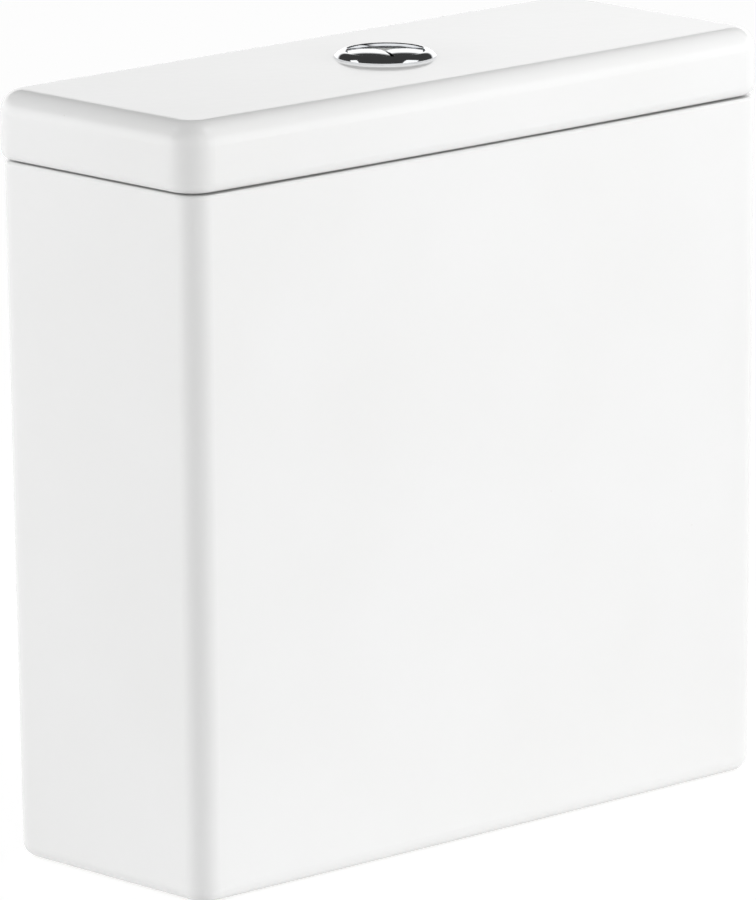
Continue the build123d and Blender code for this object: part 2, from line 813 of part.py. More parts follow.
def make_full_flush_float():
    """Float cup on the overflow tube, open at its base."""
    body = ring(full_float_radius, stem_radius + slip, full_float_z, full_float_top_z)
    room = ring(full_float_radius - float_skin, stem_radius + slip + float_skin,
                full_float_z - overrun, full_float_top_z - float_skin)
    return body - room


def make_float_rail():
    """Rail for the half-flush float, on a fork that leaves room for the latch."""
    fork_top = rail_z
    bridge_low = fork_top - rail_fork_bridge
    x_pair = (rail_x - rail_depth / 2, rail_x + rail_depth / 2)
    rail_y = (service_line_y - rail_width / 2, service_line_y + rail_width / 2)
    body = block(x_pair, rail_y, (bridge_low, rail_top_z))
    fork_y = (service_line_y - rail_fork_width / 2, service_line_y + rail_fork_width / 2)
    body += block(x_pair, fork_y, (bridge_low, fork_top))
    foot_x = (rail_x - rail_foot_depth / 2, rail_x + rail_foot_depth / 2)
    for side in (-1, 1):
        outer = service_line_y + side * rail_fork_width / 2
        leg = sorted((outer, outer - side * rail_leg_width))
        body += block(x_pair, leg, (tower_z, fork_top))
        body += block(foot_x, leg, (tower_z, tower_z + rail_foot_thickness))
    reach = rail_fork_width / 2 + overrun
    hole = cross_pin(latch_pin_radius + running, rail_x, latch_z, service_line_y - reach,
                     service_line_y + reach)
    return body - hole


def make_latch_pin():
    """Pin of the float latch, through both legs of the rail's fork."""
    reach = rail_fork_width / 2 + loose
    return cross_pin(latch_pin_radius, rail_x, latch_z, service_line_y - reach, service_line_y + reach)


def make_float_latch():
    """Latch lever: a post under the half-flush float and a tooth beside the stem."""
    y_pair = (service_line_y - latch_width / 2, service_line_y + latch_width / 2)
    z_pair = (latch_z - latch_thickness / 2, latch_z + latch_thickness / 2)
    outer = rail_x - latch_outer_reach
    inner = rail_x + latch_inner_reach
    body = block((outer, inner), y_pair, z_pair)
    body += cross_pin(latch_hub_radius, rail_x, latch_z, *y_pair)
    body += block((outer, outer + latch_thickness), y_pair, (z_pair[0], half_float_z - apart))
    body += block((inner - latch_thickness, inner), y_pair, (z_pair[0], latch_z + latch_tooth))
    hole = cross_pin(latch_pin_radius + running, rail_x, latch_z, y_pair[0] - overrun, y_pair[1] + overrun)
    return body - hole


def make_half_flush_float():
    """Float box beside the tower, open at its base, with a sleeve round the rail."""
    sleeve_x = (rail_x - rail_depth / 2 - rail_slip - half_guide_wall,
                rail_x + rail_depth / 2 + rail_slip + half_guide_wall)
    half_sleeve = rail_width / 2 + rail_slip + half_guide_wall
    sleeve_y = (service_line_y - half_sleeve, service_line_y + half_sleeve)
    high = half_float_z + half_float_length
    box_x = (sleeve_x[0] - half_float_depth, sleeve_x[0])
    box_y = (service_line_y - half_float_width / 2, service_line_y + half_float_width / 2)
    body = block(box_x, box_y, (half_float_z, high))
    body = fillet(body.edges().filter_by(Axis.Z), fill_float_round)
    room_x = (box_x[0] + float_skin, box_x[1] - float_skin)
    room_y = (box_y[0] + float_skin, box_y[1] - float_skin)
    body -= block(room_x, room_y, (half_float_z - overrun, high - float_skin))
    sleeve = block((sleeve_x[0] - slip, sleeve_x[1]), sleeve_y, (high - half_guide_height, high))
    hole_x = (sleeve_x[0] + half_guide_wall, sleeve_x[1] - half_guide_wall)
    hole_y = (sleeve_y[0] + half_guide_wall, sleeve_y[1] - half_guide_wall)
    return body + sleeve - block(hole_x, hole_y, (half_float_z, high + overrun))


def make_inlet_washer():
    """Rubber washer under the flange of the fill valve."""
    outer = inlet_flange_radius - slip
    return ring(outer, inlet_tail_radius + slip, floor_top_z, washer_top_z, x=fill_x)


def make_inlet_shank():
    """Inlet tail with a relief above its connector's thread, flange and the riser's barrel."""
    barrel_bore = riser_radius + slip
    riser_base = barrel_top_z - riser_depth
    relief_radius = inlet_tail_radius - inlet_relief_depth
    relief_z = inlet_tail_clear + inlet_connector_length
    thread_z = relief_z + inlet_relief_width
    return turned([(inlet_bore_radius, inlet_tail_clear), (inlet_tail_radius, inlet_tail_clear),
                   (inlet_tail_radius, relief_z), (relief_radius, relief_z),
                   (relief_radius, thread_z), (inlet_tail_radius, thread_z),
                   (inlet_tail_radius, washer_top_z), (inlet_flange_radius, washer_top_z),
                   (inlet_flange_radius, barrel_z), (barrel_radius, barrel_z),
                   (barrel_radius, barrel_top_z), (barrel_bore, barrel_top_z),
                   (barrel_bore, riser_base), (inlet_bore_radius, riser_base)], x=fill_x)


def make_inlet_back_nut():
    """Hexagonal nut with a collar that clamps the fill valve from under the floor."""
    low = base_recess - inlet_nut_height
    hexagon = RegularPolygon(inlet_nut_radius, inlet_nut_sides, major_radius=False)
    body = Pos(fill_x, service_line_y, low) * extrude(hexagon, inlet_nut_height)
    body += column(inlet_nut_flange_radius, base_recess - inlet_nut_flange_thickness, base_recess, x=fill_x)
    return body - column(inlet_tail_radius + slip, low - overrun, base_recess + overrun, x=fill_x)


def make_inlet_filter():
    """Slotted strainer inside the inlet tail."""
    low = inlet_tail_clear + loose
    outer = inlet_bore_radius - slip
    high = low + filter_height
    body = column(outer, low, high, x=fill_x)
    body -= column(outer - filter_wall, low - overrun, high - filter_wall, x=fill_x)
    middle = (low + high) / 2
    half = filter_height * filter_slot_share / 2
    slot_y = (service_line_y - filter_slot_width / 2, service_line_y + filter_slot_width / 2)
    body -= block((fill_x - inlet_bore_radius, fill_x + inlet_bore_radius), slot_y,
                  (middle - half, middle + half))
    slot_x = (fill_x - filter_slot_width / 2, fill_x + filter_slot_width / 2)
    across = (service_line_y - inlet_bore_radius, service_line_y + inlet_bore_radius)
    return body - block(slot_x, across, (middle - half, middle + half))


def make_riser_tube():
    """Riser that telescopes in the barrel and carries the valve head."""
    return ring(riser_radius, riser_radius - riser_wall, barrel_top_z - riser_depth, fill_head_z, x=fill_x)


def make_riser_lock_ring():
    """Gripped ring on top of the barrel that locks the riser's height."""
    high = barrel_top_z + lock_ring_height
    body = ring(lock_ring_radius, riser_radius + slip, barrel_top_z, high, x=fill_x)
    grip = column(lock_ring_grip_radius, barrel_top_z - overrun, high + overrun, lock_ring_radius, 0)
    return body - around(grip, lock_ring_grips, x=fill_x)


def make_fill_valve_head():
    """Valve head with its chamber, inlet jet and the socket of the discharge tube."""
    floor_z = fill_head_z + fill_head_floor
    shoulder = fill_head_top_z - fill_shoulder_drop
    body = column(fill_head_radius, fill_head_z, fill_head_top_z, x=fill_x)
    socket_radius = discharge_radius + slip + discharge_socket_wall
    socket_top = fill_head_z + discharge_socket_height
    body += column(socket_radius, fill_head_z, socket_top, fill_x, discharge_y)
    body += block((fill_x - socket_radius, fill_x + socket_radius), (service_line_y, discharge_y),
                  (fill_head_z, socket_top))
    body -= column(fill_chamber_radius, floor_z, fill_head_top_z, x=fill_x)
    body -= column(fill_shoulder_radius, shoulder, fill_head_top_z + overrun, x=fill_x)
    body += column(inlet_jet_radius, floor_z - slip, floor_z + inlet_jet_height, x=fill_x)
    body -= column(inlet_jet_bore_radius, fill_head_z - overrun, floor_z + inlet_jet_height + slip, x=fill_x)
    socket = column(discharge_radius + slip, fill_head_z - overrun, fill_head_z + discharge_socket_depth,
                    fill_x, discharge_y)
    return body - socket


def make_fill_diaphragm():
    """Rubber diaphragm on the chamber's shoulder."""
    low = fill_head_top_z - fill_shoulder_drop
    return column(fill_shoulder_radius - slip, low, low + diaphragm_thickness, x=fill_x)


def make_fill_valve_cap():
    """Cap on the valve head, with the pilot nozzle and the ears of the float arm."""
    spigot_z = fill_head_top_z - fill_shoulder_drop + diaphragm_thickness
    body = column(cap_radius, fill_head_top_z, cap_top_z, x=fill_x)
    body = fillet(edges_at(body, cap_top_z), cap_round)
    body += column(fill_shoulder_radius - slip, spigot_z, fill_head_top_z + slip, x=fill_x)
    body += column(nozzle_radius, cap_top_z - slip, cap_top_z + nozzle_height, x=fill_x)
    ear_x = (arm_pivot_x - arm_ear_half_width, arm_pivot_x + arm_ear_half_width)
    inner = arm_width / 2 + arm_ear_gap
    for side in (-1, 1):
        near = service_line_y + side * inner
        y_pair = sorted((near, near + side * arm_ear_thickness))
        body += block(ear_x, y_pair, (fill_head_top_z, arm_pivot_z + arm_hub_radius))
    reach = inner + arm_ear_thickness + overrun
    hole = cross_pin(arm_pin_radius + running, arm_pivot_x, arm_pivot_z, service_line_y - reach,
                     service_line_y + reach)
    return body - hole


def make_arm_pin():
    """Steel pin of the float arm."""
    reach = arm_width / 2 + arm_ear_gap + arm_ear_thickness + loose
    return cross_pin(arm_pin_radius, arm_pivot_x, arm_pivot_z, service_line_y - reach,
                     service_line_y + reach)


def make_discharge_tube():
    """Tube that takes the fill water quietly down to the floor."""
    low = floor_top_z + discharge_clear_of_floor
    high = fill_head_z + discharge_socket_depth
    return ring(discharge_radius, discharge_radius - discharge_wall, low, high, fill_x, discharge_y)


def make_tube_clip():
    """Clip plate that ties the discharge tube to the barrel."""
    low = floor_top_z + clip_plate_height
    high = low + clip_plate_thickness
    small = discharge_radius + slip
    large = barrel_radius + slip
    body = column(small + clip_plate_wall, low, high, fill_x, discharge_y)
    body += column(large + clip_plate_wall, low, high, x=fill_x)
    half = clip_plate_wall * 2
    body += block((fill_x - half, fill_x + half), (service_line_y, discharge_y), (low, high))
    body -= column(small, low - overrun, high + overrun, fill_x, discharge_y)
    return body - column(large, low - overrun, high + overrun, x=fill_x)


def arm_frame():
    """Place of the float arm: at its pivot, drooping towards the float."""
    return Pos(arm_pivot_x, service_line_y, arm_pivot_z) * Rot(0, arm_droop, 0)


def make_float_arm():
    """Float arm with a hub, a slot for the link rod and a seat for the pilot seal."""
    half_width = arm_width / 2
    half_thickness = arm_thickness / 2
    bar = block((-arm_pivot_reach - arm_tail, arm_length + arm_end), (-half_width, half_width),
                (-half_thickness, half_thickness))
    hub = Rot(90, 0, 0) * Cylinder(arm_hub_radius, arm_width)
    hole = Rot(90, 0, 0) * Cylinder(arm_pin_radius + running, arm_width + overrun)
    slot_half = link_radius + arm_slot_clearance
    slot_side = link_radius + loose
    slot = block((arm_length - slot_half, arm_length + slot_half), (-slot_side, slot_side),
                 (-arm_thickness, arm_thickness))
    return arm_frame() * (bar + hub - hole - slot)


def make_pilot_seal():
    """Rubber plug under the short end of the float arm, over the pilot nozzle."""
    low = -arm_thickness / 2 - pilot_seal_drop
    plug = Pos(-arm_pivot_reach, 0, low + pilot_seal_drop / 2) * Cylinder(pilot_seal_radius, pilot_seal_drop)
    return arm_frame() * plug


def link_heights():
    """Heights of the two link nuts' faces on either side of the drooping arm."""
    droop = math.radians(arm_droop)
    middle = arm_pivot_z - arm_length * math.tan(droop)
    half = arm_thickness / 2 / math.cos(droop) + link_nut_radius * math.tan(droop) + apart
    return middle - half, middle + half


def make_fill_float():
    """Float box of the fill valve, open at its base, with a sleeve round the riser."""
    x_pair = (link_x - fill_float_width / 2, link_x + fill_float_width / 2)
    y_pair = (service_line_y - fill_float_breadth / 2, service_line_y + fill_float_breadth / 2)
    body = block(x_pair, y_pair, (fill_float_z, fill_float_top_z))
    body = fillet(body.edges().filter_by(Axis.Z) + body.edges().group_by(Axis.Z)[-1], fill_float_round)
    room_x = (x_pair[0] + fill_float_skin, x_pair[1] - fill_float_skin)
    room_y = (y_pair[0] + fill_float_skin, y_pair[1] - fill_float_skin)
    room = block(room_x, room_y, (fill_float_z - overrun, fill_float_top_z - fill_float_skin))
    room_edges = room.edges().filter_by(Axis.Z) + room.edges().group_by(Axis.Z)[-1]
    body -= fillet(room_edges, fill_float_round - fill_float_skin)
    body += column(link_boss_radius, fill_float_top_z - slip, fill_float_top_z + link_boss_height, x=link_x)
    body -= column(link_radius + slip, fill_float_top_z, fill_float_top_z + link_boss_height + overrun,
                   x=link_x)
    guide_high = fill_float_top_z - fill_guide_drop
    guide_low = guide_high - fill_guide_height
    bore = riser_radius + loose
    sleeve = column(bore + fill_guide_wall, guide_low, guide_high, x=fill_x)
    half = fill_guide_width / 2
    sleeve += block((fill_x, x_pair[0] + slip), (service_line_y - half, service_line_y + half),
                    (guide_low, guide_high))
    return body + sleeve - column(bore, guide_low - overrun, guide_high + overrun, x=fill_x)


def make_float_link_rod():
    """Threaded rod between the float and its arm."""
    high = link_heights()[1] + link_nut_height + link_proud
    return column(link_radius, fill_float_top_z, high, x=link_x)


def make_link_nuts():
    """Two nuts on the link rod, one under and one over the float arm."""
    lower, upper = link_heights()
    bore = link_radius + slip
    return Part() + [ring(link_nut_radius, bore, lower - link_nut_height, lower, x=link_x),
                     ring(link_nut_radius, bore, upper, upper + link_nut_height, x=link_x)]


pieces = {
    "tank": make_tank(),
    "lid": make_lid(),
    "lid_buffers": make_lid_buffers(),
    "button_bezel": make_button_bezel(),
    "button_housing": make_button_housing(),
    "housing_gasket": make_housing_gasket(),
    "housing_nut": make_housing_nut(),
    "full_flush_button": make_button(1, rod_places[1]),
    "half_flush_button": make_button(-1, rod_places[-1]),
    "full_push_rod": make_push_rod(rod_places[1]),
    "half_push_rod": make_push_rod(rod_places[-1]),
    "full_rod_nut": make_rod_nut(rod_places[1]),
    "half_rod_nut": make_rod_nut(rod_places[-1]),
    "full_button_spring": make_button_spring(1),
    "half_button_spring": make_button_spring(-1),
    "seat_gasket": make_seat_gasket(),
    "valve_seat": make_valve_seat(),
    "outlet_back_nut": make_outlet_back_nut(),
    "coupling_doughnut": make_coupling_doughnut(),
    "valve_cage": make_valve_cage(),
    "valve_tower": make_valve_tower(),
    "tower_head": make_tower_head(),
    "rocker_axle": make_rocker_axle(),
    "full_flush_rocker": make_rocker(1, full_lift_reach),
    "half_flush_rocker": make_rocker(-1, half_lift_reach),
    "overflow_tube": make_overflow_tube(),
    "valve_seal": make_valve_seal(),
    "seal_retainer": make_seal_retainer(),
    "stem_clips": make_stem_clips(),
    "lift_yoke": make_lift_yoke(),
    "full_flush_float": make_full_flush_float(),
    "float_rail": make_float_rail(),
    "latch_pin": make_latch_pin(),
    "float_latch": make_float_latch(),
    "half_flush_float": make_half_flush_float(),
    "inlet_washer": make_inlet_washer(),
    "inlet_shank": make_inlet_shank(),
    "inlet_back_nut": make_inlet_back_nut(),
    "inlet_filter": make_inlet_filter(),
    "riser_tube": make_riser_tube(),
    "riser_lock_ring": make_riser_lock_ring(),
    "fill_valve_head": make_fill_valve_head(),
    "fill_diaphragm": make_fill_diaphragm(),
    "fill_valve_cap": make_fill_valve_cap(),
    "arm_pin": make_arm_pin(),
    "discharge_tube": make_discharge_tube(),
    "tube_clip": make_tube_clip(),
    "float_arm": make_float_arm(),
    "pilot_seal": make_pilot_seal(),
    "fill_float": make_fill_float(),
    "float_link_rod": make_float_link_rod(),
    "link_nuts": make_link_nuts(),
}

os.makedirs("parts", exist_ok=True)
for name, shape in pieces.items():
    export_step(shape, f"parts/{name}.step")
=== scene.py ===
import json
import math

import bmesh
import bpy
from mathutils import Matrix, Vector


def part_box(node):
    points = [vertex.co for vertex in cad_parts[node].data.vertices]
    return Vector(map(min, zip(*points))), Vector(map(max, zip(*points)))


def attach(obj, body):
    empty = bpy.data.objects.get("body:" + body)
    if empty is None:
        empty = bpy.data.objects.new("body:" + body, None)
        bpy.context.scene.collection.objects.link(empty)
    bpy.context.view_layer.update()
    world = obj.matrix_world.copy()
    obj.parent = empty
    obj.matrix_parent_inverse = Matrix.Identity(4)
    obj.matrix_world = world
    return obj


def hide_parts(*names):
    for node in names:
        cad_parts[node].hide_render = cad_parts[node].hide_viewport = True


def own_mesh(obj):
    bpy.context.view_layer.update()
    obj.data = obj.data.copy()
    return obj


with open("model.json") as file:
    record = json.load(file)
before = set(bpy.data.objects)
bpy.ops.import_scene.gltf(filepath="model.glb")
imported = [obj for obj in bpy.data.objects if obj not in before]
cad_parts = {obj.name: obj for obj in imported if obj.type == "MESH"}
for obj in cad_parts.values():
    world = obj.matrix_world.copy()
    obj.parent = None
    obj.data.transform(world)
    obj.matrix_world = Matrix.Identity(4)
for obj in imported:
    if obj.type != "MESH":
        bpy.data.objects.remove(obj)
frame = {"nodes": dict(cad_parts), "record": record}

nodes = frame["nodes"]
body_of = {name: body for body, held in frame["record"]["behaviour"]["bodies"].items() for name in held}
slot_of = {part["node"]: part["material_slot"] for part in frame["record"]["subparts"]}
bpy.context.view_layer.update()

# Camera, fitted to the outline of the photographed cistern. The sensor spans the picture's height
IMAGE_WIDTH = 756
IMAGE_HEIGHT = 900
CAMERA_YAW = math.radians(43.0907)
CAMERA_PITCH = math.radians(12.5307)
CAMERA_ROLL = math.radians(-0.4179)
PIXELS_PER_METRE = 2153.7
CAMERA_DISTANCE = 4.2285
AIM_POINT = Vector((0.0, 0.0012, 0.2))
AIM_PIXEL = (385.9592, 393.3332)
SENSOR_MILLIMETRES = 36.0

# What the gloss sees: a dark ceiling that starts at a sine of elevation and ends towards the room's side
GLOSS_BRIGHT = 1.25
GLOSS_DARK = 0.05
CEILING_START = (0.31, 0.41)
ROOM_SIDE = (-0.683, -0.730, 0.0)
ROOM_SIDE_START = (0.35, 0.75)

# Bright patches in that ceiling: the direction of each one's middle, and its half sizes. A patch shows only
# on its own side of the sky, and fades over its outer tenth
PATCHES = {(0.426, -0.321, 0.845): (0.22, 0.1625), (-0.306, 0.561, 0.769): (0.15, 0.096)}
GLOSS_PATCH = 1.3
PATCH_FRONT = (0.5, 0.6)
PATCH_EDGE = 0.9

# What matt surfaces see: brighter by the horizon than overhead
AMBIENT_LOW = 0.84
AMBIENT_HIGH = 0.1
AMBIENT_SPAN = (0.3, 1.0)

# Lamps: place, width and height in metres, and watts
LAMP_AIM = Vector((0.0, 0.0, 0.2))
LAMPS = {"soft_box_right": ((0.34, -0.257, 1.036), (0.353, 0.26), 1.9),
         "soft_box_left": ((-0.85, 1.5, 2.2), (0.6, 0.5), 1.2),
         "front_panel": ((2.8, -4.8, 0.35), (2.4, 1.6), 168.0),
         "side_panel": ((-4.4, 3.4, 0.35), (2.4, 1.6), 167.0)}

# Floor: one grey lights the object, and the camera sees a darker grey that a glow brings up to white
FLOOR_RADIUS = 7.0
FLOOR_SIDES = 96
FLOOR_DROP = 0.0003
FLOOR_GREY = 0.9
FLOOR_SEEN_GREY = 0.3
FLOOR_GLOW = 0.83

# Ends of a range that a value is stretched to, and the core where most of a noise's values lie
RISE = (0.0, 1.0)
FALL = (1.0, 0.0)
NOISE_CORE = (0.3, 0.7)

# Glaze, with its specks, and the bare clay of the foot, in metres where it is a height or a depth
GLAZE_IOR = 1.5
GLAZE_TONES = ((0.905, 0.907, 0.905), (0.888, 0.889, 0.884))
GLAZE_TONE_CORE = (0.35, 0.65)
GLAZE_ROUGHNESS = (0.09, 0.13)
PEEL_DEPTH = 0.00003
SPECK_COLOUR = (0.62, 0.58, 0.52)
SPECK_SCALE = 42.0
SPECK_EDGE = (0.010, 0.016)
SPECK_FADE = (0.35, 0.0)
CLAY_TONES = ((0.80, 0.77, 0.71), (0.70, 0.67, 0.61))
CLAY_ROUGHER = 0.7
CLAY_GRAIN_DEPTH = 0.00012
FOOT_HEIGHT = (0.0004, 0.0010)
FOOT_FACING = (-0.9, -0.6)

# Chrome, with wiping marks that are stretched and turned
CHROME_TONES = ((0.80, 0.81, 0.825), (0.74, 0.75, 0.765))
CHROME_ROUGHNESS = (0.03, 0.09)
CHROME_WAVE_DEPTH = 0.00001
WIPE_STRETCH = (1.0, 9.0, 1.0)
WIPE_TURN = (0.0, 0.0, 0.5)
WIPE_CORE = (0.35, 0.75)

# Plastics and rubbers by slot: two tones, the range of roughness, the grain's depth, and uniform values
PLASTIC_GRAIN_DEPTH = 0.00002
PLASTICS = {
    "white_plastic": dict(name="white_moulding", tones=((0.80, 0.81, 0.80), (0.75, 0.76, 0.75)),
                          roughness=(0.34, 0.46), Subsurface_Weight=0.05, Subsurface_Scale=0.002),
    "grey_plastic": dict(name="grey_moulding", tones=((0.30, 0.31, 0.33), (0.25, 0.26, 0.28)),
                         roughness=(0.38, 0.52)),
    "blue_plastic": dict(name="blue_moulding", tones=((0.035, 0.16, 0.42), (0.025, 0.12, 0.34)),
                         roughness=(0.30, 0.44)),
    "full_rocker_plastic": dict(name="blue_rocker", tones=((0.03, 0.13, 0.38), (0.02, 0.10, 0.30)),
                                roughness=(0.28, 0.42)),
    "half_rocker_plastic": dict(name="pale_rocker", tones=((0.72, 0.72, 0.66), (0.66, 0.66, 0.60)),
                                roughness=(0.30, 0.44)),
    "clear_plastic": dict(name="clear_tube", tones=((0.86, 0.88, 0.89), (0.80, 0.83, 0.85)),
                          roughness=(0.16, 0.26), Transmission_Weight=0.55, IOR=1.49),
    "float_plastic": dict(name="float_moulding", tones=((0.62, 0.63, 0.64), (0.56, 0.57, 0.58)),
                          roughness=(0.40, 0.54)),
    "black_rubber": dict(name="black_rubber", tones=((0.022, 0.022, 0.023), (0.034, 0.034, 0.034)),
                         roughness=(0.62, 0.78), grain_depth=0.00006),
    "silicone": dict(name="silicone_rubber", tones=((0.56, 0.58, 0.60), (0.50, 0.52, 0.54)),
                     roughness=(0.42, 0.56), grain_depth=0.00003,
                     Subsurface_Weight=0.2, Subsurface_Scale=0.003),
    "filter_plastic": dict(name="strainer_moulding", tones=((0.66, 0.62, 0.48), (0.58, 0.54, 0.42)),
                           roughness=(0.40, 0.55)),
}

# Metals by slot: two tones and the range of roughness. Their fine marks are drawn out from front to back
METALS = {
    "steel": dict(name="bright_steel", tones=((0.62, 0.62, 0.63), (0.52, 0.52, 0.53)),
                  roughness=(0.16, 0.30)),
    "brass": dict(name="bare_brass", tones=((0.72, 0.53, 0.25), (0.62, 0.44, 0.19)),
                  roughness=(0.20, 0.36)),
}
DRAWN_STRETCH = (3.0, 0.3, 3.0)
DRAWN_DEPTH = 0.00001

# Screw threads, in metres: the node, its barrel's radius, the thread's pitch and its depth
THREADS = [("inlet_shank", 0.01048, 0.001814, 0.00095),
           ("valve_seat", 0.0298, 0.003, 0.0012),
           ("button_housing", 0.0192, 0.0025, 0.0008),
           ("full_push_rod", 0.0024, 0.0008, 0.0004),
           ("half_push_rod", 0.0024, 0.0008, 0.0004),
           ("float_link_rod", 0.002, 0.0007, 0.00035)]
ROWS_PER_TURN = 8
RUN_OUT_TURNS = 0.75

# How closely a barrel is known in a node's mesh, and how the threaded mesh is finished
RADIUS_MATCH = 0.00005
LEVEL_MATCH = 0.00002
LEVEL_DIGITS = 5
SHORTEST_BARREL = 0.005
WELD = 0.000001
SEAM_OFFSET = 0.01
SHARP_ANGLE = math.radians(40)

# Return springs, each with the name of its button's press joint
SPRINGS = {"full_button_spring": "full_flush_press", "half_button_spring": "half_flush_press"}


def camera_axes():
    """The camera's right, up and forward directions."""
    forward = Vector((math.sin(CAMERA_YAW) * math.cos(CAMERA_PITCH),
                      math.cos(CAMERA_YAW) * math.cos(CAMERA_PITCH),
                      -math.sin(CAMERA_PITCH)))
    level = Vector((math.cos(CAMERA_YAW), -math.sin(CAMERA_YAW), 0.0))
    upright = level.cross(forward)
    right = level * math.cos(CAMERA_ROLL) + upright * math.sin(CAMERA_ROLL)
    up = upright * math.cos(CAMERA_ROLL) - level * math.sin(CAMERA_ROLL)
    return right, up, forward


def make_camera():
    """The camera stands so that the aim point falls on its pixel, with no lens shift."""
    right, up, forward = camera_axes()
    data = bpy.data.cameras.new("photo_camera")
    data.sensor_width = SENSOR_MILLIMETRES
    data.lens = SENSOR_MILLIMETRES * PIXELS_PER_METRE * CAMERA_DISTANCE / IMAGE_HEIGHT
    camera = bpy.data.objects.new("photo_camera", data)
    bpy.context.scene.collection.objects.link(camera)
    across = (AIM_PIXEL[0] - IMAGE_WIDTH / 2) / PIXELS_PER_METRE
    down = (AIM_PIXEL[1] - IMAGE_HEIGHT / 2) / PIXELS_PER_METRE
    place = AIM_POINT - right * across + up * down - forward * CAMERA_DISTANCE
    turn = Matrix((right, up, -forward)).transposed().to_4x4()
    camera.matrix_world = Matrix.Translation(place) @ turn
    bpy.context.scene.camera = camera


class Nodes:
    """Short calls for one material's or world's node tree."""

    def __init__(self, tree):
        self.tree = tree
        tree.nodes.clear()

    def add(self, kind, **settings):
        node = self.tree.nodes.new(kind)
        for name, value in settings.items():
            setattr(node, name, value)
        return node

    def link(self, source, target):
        self.tree.links.new(source, target)

    def noise(self, vector, scale, detail):
        node = self.add("ShaderNodeTexNoise")
        node.inputs["Scale"].default_value = scale
        node.inputs["Detail"].default_value = detail
        self.link(vector, node.inputs["Vector"])
        return node.outputs["Fac"]

    def stretched(self, vector, scale, turn=(0.0, 0.0, 0.0)):
        node = self.add("ShaderNodeMapping")
        node.inputs["Scale"].default_value = scale
        node.inputs["Rotation"].default_value = turn
        self.link(vector, node.inputs["Vector"])
        return node.outputs["Vector"]

    def ranged(self, value, span, target=RISE, smooth=False):
        node = self.add("ShaderNodeMapRange", interpolation_type="SMOOTHSTEP" if smooth else "LINEAR")
        for name, number in zip(("From Min", "From Max", "To Min", "To Max"), (*span, *target)):
            node.inputs[name].default_value = number
        self.link(value, node.inputs["Value"])
        return node.outputs["Result"]

    def math(self, operation, *values):
        node = self.add("ShaderNodeMath", operation=operation)
        for socket, value in zip(node.inputs, values):
            if isinstance(value, float):
                socket.default_value = value
            else:
                self.link(value, socket)
        return node.outputs["Value"]

    def along(self, vector, axis):
        node = self.add("ShaderNodeVectorMath", operation="DOT_PRODUCT")
        self.link(vector, node.inputs[0])
        node.inputs[1].default_value = axis
        return node.outputs["Value"]

    def upward(self, vector):
        node = self.add("ShaderNodeSeparateXYZ")
        self.link(vector, node.inputs["Vector"])
        return node.outputs["Z"]

    def mix(self, factor, first, second):
        node = self.add("ShaderNodeMix", data_type="RGBA")
        for name, value in (("Factor_Float", factor), ("A_Color", first), ("B_Color", second)):
            socket = next(s for s in node.inputs if s.identifier == name)
            if isinstance(value, tuple):
                socket.default_value = (*value, 1.0)
            else:
                self.link(value, socket)
        return next(s for s in node.outputs if s.identifier == "Result_Color")

    def bump(self, height, distance, under=None):
        node = self.add("ShaderNodeBump")
        node.inputs["Distance"].default_value = distance
        self.link(height, node.inputs["Height"])
        if under is not None:
            self.link(under, node.inputs["Normal"])
        return node.outputs["Normal"]


def new_material(name, **uniform):
    """A material, its tree, its Principled shader with the uniform values set, and the coordinates."""
    material = bpy.data.materials.new(name)
    material.use_nodes = True
    tree = Nodes(material.node_tree)
    shader = tree.add("ShaderNodeBsdfPrincipled")
    for key, value in uniform.items():
        shader.inputs[key.replace("_", " ")].default_value = value
    output = tree.add("ShaderNodeOutputMaterial")
    tree.link(shader.outputs["BSDF"], output.inputs["Surface"])
    place = tree.add("ShaderNodeTexCoord").outputs["Object"]
    return material, tree, shader, place


def foot_mask(tree, place):
    """1 on the faces that stand on the floor, and 0 elsewhere."""
    facing = tree.add("ShaderNodeNewGeometry").outputs["True Normal"]
    low = tree.ranged(tree.upward(place), FOOT_HEIGHT, FALL, smooth=True)
    return tree.math("MULTIPLY", low, tree.ranged(tree.upward(facing), FOOT_FACING, FALL))


def glaze_colour(tree, place, foot):
    """A faint drift of white with a few tiny specks, and bare clay on the foot."""
    drift = tree.ranged(tree.noise(place, scale=9.0, detail=2.0), GLAZE_TONE_CORE)
    cells = tree.add("ShaderNodeTexVoronoi", feature="F1")
    cells.inputs["Scale"].default_value = SPECK_SCALE
    tree.link(place, cells.inputs["Vector"])
    speck = tree.ranged(cells.outputs["Distance"], SPECK_EDGE, SPECK_FADE)
    glaze = tree.mix(speck, tree.mix(drift, *GLAZE_TONES), SPECK_COLOUR)
    mottle = tree.ranged(tree.noise(place, scale=900.0, detail=4.0), NOISE_CORE)
    return tree.mix(foot, glaze, tree.mix(mottle, *CLAY_TONES))


def glaze_material():
    """White vitreous glaze: clean gloss, a faint orange peel, a few tiny specks, bare clay on the foot."""
    material, tree, shader, place = new_material("white_glaze", IOR=GLAZE_IOR)
    foot = foot_mask(tree, place)
    tree.link(glaze_colour(tree, place, foot), shader.inputs["Base Color"])
    sheen = tree.ranged(tree.noise(place, scale=60.0, detail=3.0), NOISE_CORE, GLAZE_ROUGHNESS)
    rough = tree.math("ADD", sheen, tree.math("MULTIPLY", foot, CLAY_ROUGHER))
    tree.link(rough, shader.inputs["Roughness"])
    peel = tree.bump(tree.noise(place, scale=140.0, detail=1.5), PEEL_DEPTH)
    grain = tree.math("MULTIPLY", tree.noise(place, scale=1500.0, detail=3.0), foot)
    tree.link(tree.bump(grain, CLAY_GRAIN_DEPTH, under=peel), shader.inputs["Normal"])
    return material


